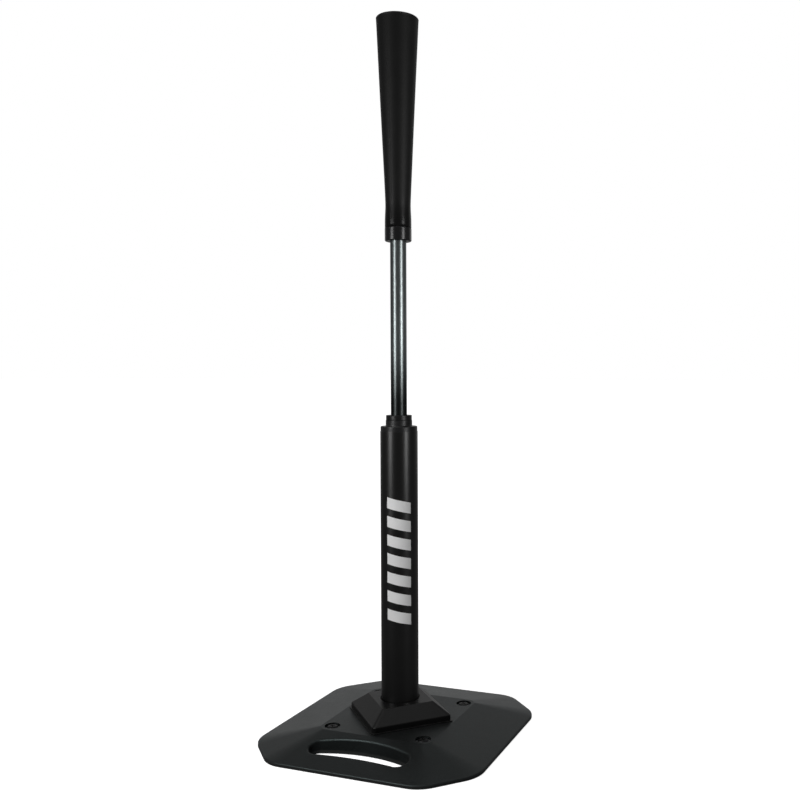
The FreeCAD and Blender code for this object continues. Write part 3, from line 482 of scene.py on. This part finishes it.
def cone_inside(height):
    """Inner radius of the rubber at a height: a straight bore, then a taper."""
    share = max(height - BORE_TOP, 0) / (RIM_HEIGHT - BORE_TOP)
    return BORE_RADIUS + (RIM_RADIUS - CONE_WALL - BORE_RADIUS) * share


def cone_radius(radius, angle, height):
    """Adds to the outside a shallow groove where the rolled rubber meets, and a slight unevenness."""
    if radius <= cone_inside(height) + 2 * MM:
        return radius
    off = (angle - SEAM_ANGLE + math.pi) % (2 * math.pi) - math.pi
    across = off * radius / SEAM_WIDTH
    groove = SEAM_DEPTH * math.exp(-across * across)
    uneven = UNEVENNESS * math.sin(3 * angle + height * 30) * smooth_step((height - NECK_HEIGHT) / (50 * MM))
    return radius - groove + uneven


def make_cone():
    """The rubber cone in one piece, from the ferrule to its open rim."""
    foot, top = SLEEVE_FOOT, RIM_HEIGHT - RIM_ROUND
    first = foot + FOOT_ROUND
    heights = [first + (top - first) * i / CONE_ROWS for i in range(CONE_ROWS + 1)]
    rounded_foot = [(SLEEVE_RADIUS - FOOT_ROUND, foot),
                    (SLEEVE_RADIUS - FOOT_ROUND / 4, foot + FOOT_ROUND / 4)]
    outside = [(cone_outside(z), z) for z in heights]
    rim_outer = arc_points((RIM_RADIUS - RIM_ROUND, top), RIM_ROUND, 0, 90, 6)[1:]
    rim_inner = arc_points((cone_inside(RIM_HEIGHT) + RIM_ROUND, top), RIM_ROUND, 90, 180, 6)[:-1]
    inside = [(cone_inside(z), z) for z in reversed(heights)]
    profile = rounded_foot + outside + rim_outer + rim_inner + inside + [(BORE_RADIUS, foot)]
    turned = lathe(profile, CONE_SEGMENTS, cone_radius)
    piece = new_piece("rubber_cone", turned, CONE_RUBBER, smooth_deg=60)
    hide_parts("cone_sleeve", "cone_top")
    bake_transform(piece)
    return piece


def make_tube_graphic():
    """Plain slanted white bars printed on the side of the tube that faces the front right."""
    bm = bmesh.new()
    for i in range(BAR_COUNT):
        foot = BARS_FOOT + i * BAR_PITCH
        grid = []
        for radius in BAR_SKINS:
            for level in (0, BAR_HEIGHT):
                row = []
                for j in range(BAR_COLUMNS + 1):
                    across = 2 * j / BAR_COLUMNS - 1
                    angle = BARS_FACE + BARS_HALF_TURN * across
                    z = foot + level - BAR_SLANT * across
                    row.append(bm.verts.new((radius * math.cos(angle), radius * math.sin(angle), z)))
                grid.append(row)
        inner_low, inner_high, outer_low, outer_high = grid
        for low, high in ((inner_low, inner_high), (outer_low, outer_high), (inner_low, outer_low),
                          (inner_high, outer_high)):
            for j in range(BAR_COLUMNS):
                bm.faces.new((low[j], low[j + 1], high[j + 1], high[j]))
        for j in (0, BAR_COLUMNS):
            bm.faces.new((inner_low[j], outer_low[j], outer_high[j], inner_high[j]))
    piece = new_piece("tube_graphic", bm, PRINT_WHITE)
    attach(piece, "base")


cone = make_cone()
make_tube_graphic()


# ---------------------------------------------------------------- stage, light and camera

CAMERA_PLACE = Vector((0.4939, -0.9681, 0.4318))
CAMERA_AIM = Vector((-0.331, 0.9436, 0)).normalized()
CAMERA_DIP = math.radians(1.81)
CAMERA_LENS = 40.6
CAMERA_SENSOR = 36
CAMERA_SHIFT = -0.1510
FLOOR_HALF_WIDTH = 40
FLOOR_DROP = 0.2 * MM
ROOM_LIGHT = 0.08
# The lit wall's brightness against the height of the direction, from -1 (down) to 1 (up).
WALL_BANDS = ((-0.12, 0.1), (-0.02, 0.56), (0.17, 0.51), (0.38, 0.34), (0.62, 0.26), (1.0, 0.12))


def make_floor():
    """A wide pale floor that glows, so that it stays white to the horizon."""
    bm = bmesh.new()
    bmesh.ops.create_grid(bm, x_segments=2, y_segments=2, size=FLOOR_HALF_WIDTH)
    made, tree, shader, place = new_material("floor_white")
    cloud = noise(tree, place, 0.6, 3, 0.5)
    link(tree, ramp(tree, cloud, [(0.3, grey(0.84)), (0.7, grey(0.86))]), shader.inputs["Base Color"])
    glow = soft_step(tree, measure(tree, "LENGTH", place), 0.3, 1.0, to_low=0.8, to_high=1.05)
    link(tree, glow, shader.inputs["Emission Strength"])
    set_inputs(shader, Roughness=0.9, Specular_IOR_Level=0.1, Emission_Color=grey(1))
    floor = new_piece("floor", bm, made)
    floor.location.z = -FLOOR_DROP
    floor.visible_glossy = False
    floor.visible_diffuse = False


def make_world():
    """A white backdrop to look at, and a dim room with a lit wall behind the tee to reflect."""
    world = bpy.data.worlds.new("studio")
    scene.world = world
    world.use_nodes = True
    tree = world.node_tree
    tree.nodes.clear()
    place = tree.nodes.new("ShaderNodeTexCoord").outputs["Generated"]
    bands = [((1 + height) / 2, grey(level)) for height, level in WALL_BANDS]
    wall = ramp(tree, spread(tree, up(tree, place), 0.5, 1.0), bands)
    behind = soft_step(tree, measure(tree, "DOT_PRODUCT", place, CAMERA_AIM), 0.4, 0.95)
    light = mix(tree, behind, grey(ROOM_LIGHT), wall)
    seen = add(tree, "ShaderNodeBackground", Color=grey(1), Strength=1)
    reflected = add(tree, "ShaderNodeBackground", Strength=1)
    link(tree, light, reflected.inputs["Color"])
    path = tree.nodes.new("ShaderNodeLightPath")
    choose = tree.nodes.new("ShaderNodeMixShader")
    out = tree.nodes.new("ShaderNodeOutputWorld")
    link(tree, path.outputs["Is Camera Ray"], choose.inputs["Fac"])
    link(tree, reflected.outputs["Background"], choose.inputs[1])
    link(tree, seen.outputs["Background"], choose.inputs[2])
    link(tree, choose.outputs["Shader"], out.inputs["Surface"])


def make_camera():
    """A nearly level camera a little right of the slot, with the tee right of the picture's middle."""
    data = bpy.data.cameras.new("camera")
    data.lens = CAMERA_LENS
    data.sensor_width = CAMERA_SENSOR
    data.shift_x = CAMERA_SHIFT
    camera = bpy.data.objects.new("camera", data)
    scene.collection.objects.link(camera)
    camera.location = CAMERA_PLACE
    aim = CAMERA_AIM * math.cos(CAMERA_DIP) - Vector((0, 0, math.sin(CAMERA_DIP)))
    camera.rotation_euler = aim.to_track_quat("-Z", "Y").to_euler()
    scene.camera = camera


def around(azimuth_deg, distance, height):
    """A place round the pole: azimuth 0 is towards the camera, positive to its right."""
    to_camera = math.atan2(CAMERA_PLACE.y, CAMERA_PLACE.x)
    angle = to_camera + math.radians(azimuth_deg)
    return (distance * math.cos(angle), distance * math.sin(angle), height)


def add_softbox(name, place, look_at, size, watts, skips=()):
    """A rectangular softbox that faces a point, isn't seen itself and doesn't light the pieces in skips."""
    data = bpy.data.lights.new(name, "AREA")
    data.shape = "RECTANGLE"
    data.size, data.size_y = size
    data.energy = watts
    box = bpy.data.objects.new(name, data)
    scene.collection.objects.link(box)
    box.location = place
    box.rotation_euler = (Vector(look_at) - Vector(place)).to_track_quat("-Z", "Y").to_euler()
    box.visible_camera = False
    if skips:
        linked = bpy.data.collections.new(name + "_lit")
        box.light_linking.receiver_collection = linked
        for piece in skips:
            linked.objects.link(piece)
        for entry in linked.collection_objects:
            entry.light_linking.link_state = "EXCLUDE"


make_floor()
make_world()
make_camera()
base_pieces = (nodes["base_shell"], nodes["pedestal"])
pole_pieces = (cone, nodes["cone_adapter"], nodes["stem_rod"], nodes["neck_cap"], nodes["outer_tube"])
add_softbox("left_strip", around(-55, 1.2, 0.5), look_at=(0, 0, 0.5), size=(0.34, 0.56), watts=3.2,
            skips=base_pieces)
add_softbox("right_strip", around(44, 1.2, 0.5), look_at=(0, 0, 0.5), size=(0.32, 0.56), watts=3.1,
            skips=base_pieces)
add_softbox("edge_light", around(-54, 1.15, 1.15), look_at=(0, 0, 0), size=(0.7, 0.6), watts=9,
            skips=pole_pieces)
add_softbox("top_box", (0.1, 0.1, 2.4), look_at=(0, 0, 0), size=(2, 2), watts=6)
scene.view_settings.view_transform = "Standard"
